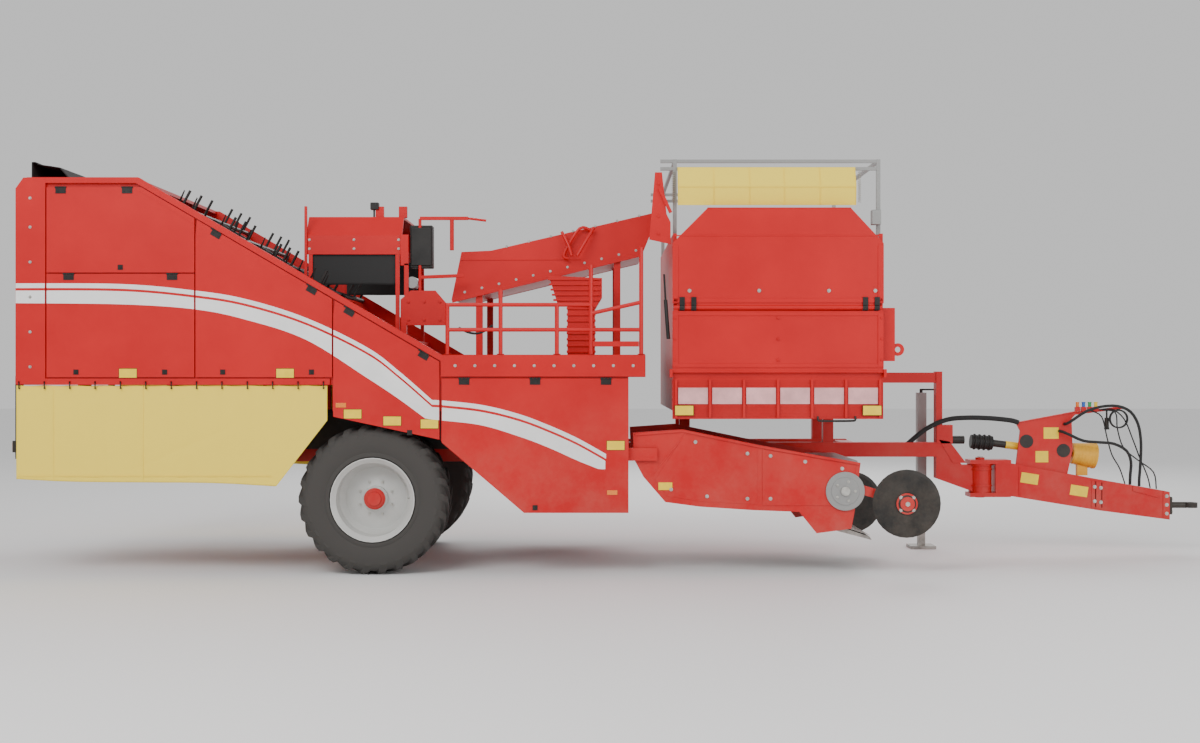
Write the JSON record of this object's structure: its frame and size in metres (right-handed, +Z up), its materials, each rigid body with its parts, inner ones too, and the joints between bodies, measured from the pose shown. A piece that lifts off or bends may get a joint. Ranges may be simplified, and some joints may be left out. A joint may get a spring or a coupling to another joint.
{
  "type": "trailed potato harvester",
  "caption": "Towed potato harvester with drawbar, digging unit, web conveyors, side doors, bunker with folding discharge side, wheels and a parking jack.",
  "frame": {"origin": "on the floor, under the middle of the machine's box", "axes": "+X towards the drawbar, +Y to the machine's left, +Z up"},
  "size_m": [10.925, 3, 3.605],
  "materials": {
    "red_paint": "gloss enamel",
    "black_rubber": "matt",
    "tyre_rubber": "worn tread",
    "silver_paint": "satin",
    "bare_steel": "worn by soil",
    "curtain_cloth": "coated cloth",
    "yellow_plastic": "moulded",
    "grey_paint": "satin",
    "black_paint": "satin"
  },
  "bodies": {
    "chassis": {"main_frame": "red_paint", "axle": "red_paint", "side_wall_right": "red_paint", "side_wall_left": "red_paint", "rear_wall": "red_paint", "lamp_bar": "black_paint", "top_cover": "red_paint", "rear_flap": "black_rubber", "incline_web": "black_rubber", "cleaning_web": "black_rubber", "inner_wall_right": "black_paint", "inner_wall_left": "black_paint", "haulm_combs": "black_paint", "curtain_right": "curtain_cloth", "curtain_left": "curtain_cloth", "picking_hood": "red_paint", "hood_rubber_right": "black_rubber", "hood_rubber_left": "black_rubber", "hood_frame": "red_paint", "platform_deck": "red_paint", "elevator_trough": "red_paint", "ribbed_chute": "red_paint", "platform_railing": "red_paint", "bunker_shell": "red_paint", "ribbed_guard": "red_paint", "bunker_top_frame": "grey_paint", "bunker_hood": "curtain_cloth", "front_post": "red_paint", "jack_tube": "grey_paint", "front_frame": "red_paint", "pto_rear_shaft": "black_paint"},
    "wheel_right": {"rim_right": "silver_paint", "tyre_right": "tyre_rubber"},
    "wheel_left": {"rim_left": "silver_paint", "tyre_left": "tyre_rubber"},
    "digger": {"digger_frame": "red_paint", "digging_web": "bare_steel", "digging_share": "bare_steel"},
    "disc_right": {"disc_right": "black_paint"},
    "disc_left": {"disc_left": "black_paint"},
    "jack_leg": {"jack_leg": "bare_steel"},
    "drawbar": {"drawbar_beam": "red_paint", "towing_eye": "black_paint", "hose_mast": "red_paint", "pto_guard": "yellow_plastic", "pto_shaft": "black_paint", "feed_hose": "black_rubber", "return_hose": "black_rubber"},
    "discharge_lower": {"discharge_lower": "red_paint"},
    "discharge_upper": {"discharge_upper": "red_paint"},
    "right_rear_upper_door": {"right_rear_upper_door": "red_paint"},
    "right_rear_lower_door": {"right_rear_lower_door": "red_paint"},
    "right_middle_door": {"right_middle_door": "red_paint"},
    "right_wheel_door": {"right_wheel_door": "red_paint"},
    "right_front_door": {"right_front_door": "red_paint"},
    "left_rear_upper_door": {"left_rear_upper_door": "red_paint"},
    "left_rear_lower_door": {"left_rear_lower_door": "red_paint"},
    "left_middle_door": {"left_middle_door": "red_paint"},
    "left_wheel_door": {"left_wheel_door": "red_paint"},
    "left_front_door": {"left_front_door": "red_paint"}
  },
  "joints": [
    {"name": "wheel_right_spin", "type": "hinge", "parent": "chassis", "child": "wheel_right", "pos_m": [-2.34, -1.155, 0.65], "axis": [0, 1, 0], "continuous": true},
    {"name": "wheel_left_spin", "type": "hinge", "parent": "chassis", "child": "wheel_left", "pos_m": [-2.34, 1.155, 0.65], "axis": [0, 1, 0], "continuous": true},
    {"name": "steering", "type": "hinge", "parent": "chassis", "child": "drawbar", "pos_m": [3.34, 0.4, 0.72], "axis": [0, 0, 1], "range_deg": [-25, 25]},
    {"name": "jack_slide", "type": "slide", "parent": "chassis", "child": "jack_leg", "axis": [0, 0, 1], "range_m": [0, 0.4]},
    {"name": "digger_lift", "type": "hinge", "parent": "chassis", "child": "digger", "pos_m": [0.06, -0.64, 1.05], "axis": [0, 1, 0], "range_deg": [-4, 10]},
    {"name": "disc_right_spin", "type": "hinge", "parent": "digger", "child": "disc_right", "pos_m": [2.27, -1.445, 0.62], "axis": [0, 1, 0], "continuous": true},
    {"name": "disc_left_spin", "type": "hinge", "parent": "digger", "child": "disc_left", "pos_m": [2.05, 0.205, 0.5], "axis": [0, 1, 0], "continuous": true},
    {"name": "discharge_lower_swing", "type": "hinge", "parent": "chassis", "child": "discharge_lower", "pos_m": [1.157, -1.47, 1.76], "axis": [1, 0, 0], "range_deg": [0, 70]},
    {"name": "discharge_upper_swing", "type": "hinge", "parent": "discharge_lower", "child": "discharge_upper", "pos_m": [1.157, -1.47, 2.312], "axis": [1, 0, 0], "range_deg": [0, 60]},
    {"name": "right_rear_upper_door_hinge", "type": "hinge", "parent": "chassis", "child": "right_rear_upper_door", "pos_m": [-5.13, -1.5, 3.3429], "axis": [-1, 0, 0], "range_deg": [0, 88]},
    {"name": "right_rear_lower_door_hinge", "type": "hinge", "parent": "chassis", "child": "right_rear_lower_door", "pos_m": [-5.13, -1.5, 2.6], "axis": [-1, 0, 0], "range_deg": [0, 88]},
    {"name": "right_middle_door_hinge", "type": "hinge", "parent": "chassis", "child": "right_middle_door", "pos_m": [-3.85, -1.5, 3.07116], "axis": [-0.8629, 0, 0.5054], "range_deg": [0, 88]},
    {"name": "right_wheel_door_hinge", "type": "hinge", "parent": "chassis", "child": "right_wheel_door", "pos_m": [-2.667, -1.5, 2.37835], "axis": [-0.8629, 0, 0.5054], "range_deg": [0, 88]},
    {"name": "right_front_door_hinge", "type": "hinge", "parent": "chassis", "child": "right_front_door", "pos_m": [-1.735, -1.5, 1.7], "axis": [-1, 0, 0], "range_deg": [0, 80]},
    {"name": "left_rear_upper_door_hinge", "type": "hinge", "parent": "chassis", "child": "left_rear_upper_door", "pos_m": [-5.13, 1.5, 3.3429], "axis": [1, 0, 0], "range_deg": [0, 88]},
    {"name": "left_rear_lower_door_hinge", "type": "hinge", "parent": "chassis", "child": "left_rear_lower_door", "pos_m": [-5.13, 1.5, 2.6], "axis": [1, 0, 0], "range_deg": [0, 88]},
    {"name": "left_middle_door_hinge", "type": "hinge", "parent": "chassis", "child": "left_middle_door", "pos_m": [-3.85, 1.5, 3.07116], "axis": [0.8629, 0, -0.5054], "range_deg": [0, 88]},
    {"name": "left_wheel_door_hinge", "type": "hinge", "parent": "chassis", "child": "left_wheel_door", "pos_m": [-2.667, 1.5, 2.37835], "axis": [0.8629, 0, -0.5054], "range_deg": [0, 88]},
    {"name": "left_front_door_hinge", "type": "hinge", "parent": "chassis", "child": "left_front_door", "pos_m": [-1.735, 1.5, 1.7], "axis": [1, 0, 0], "range_deg": [0, 80]}
  ]
}
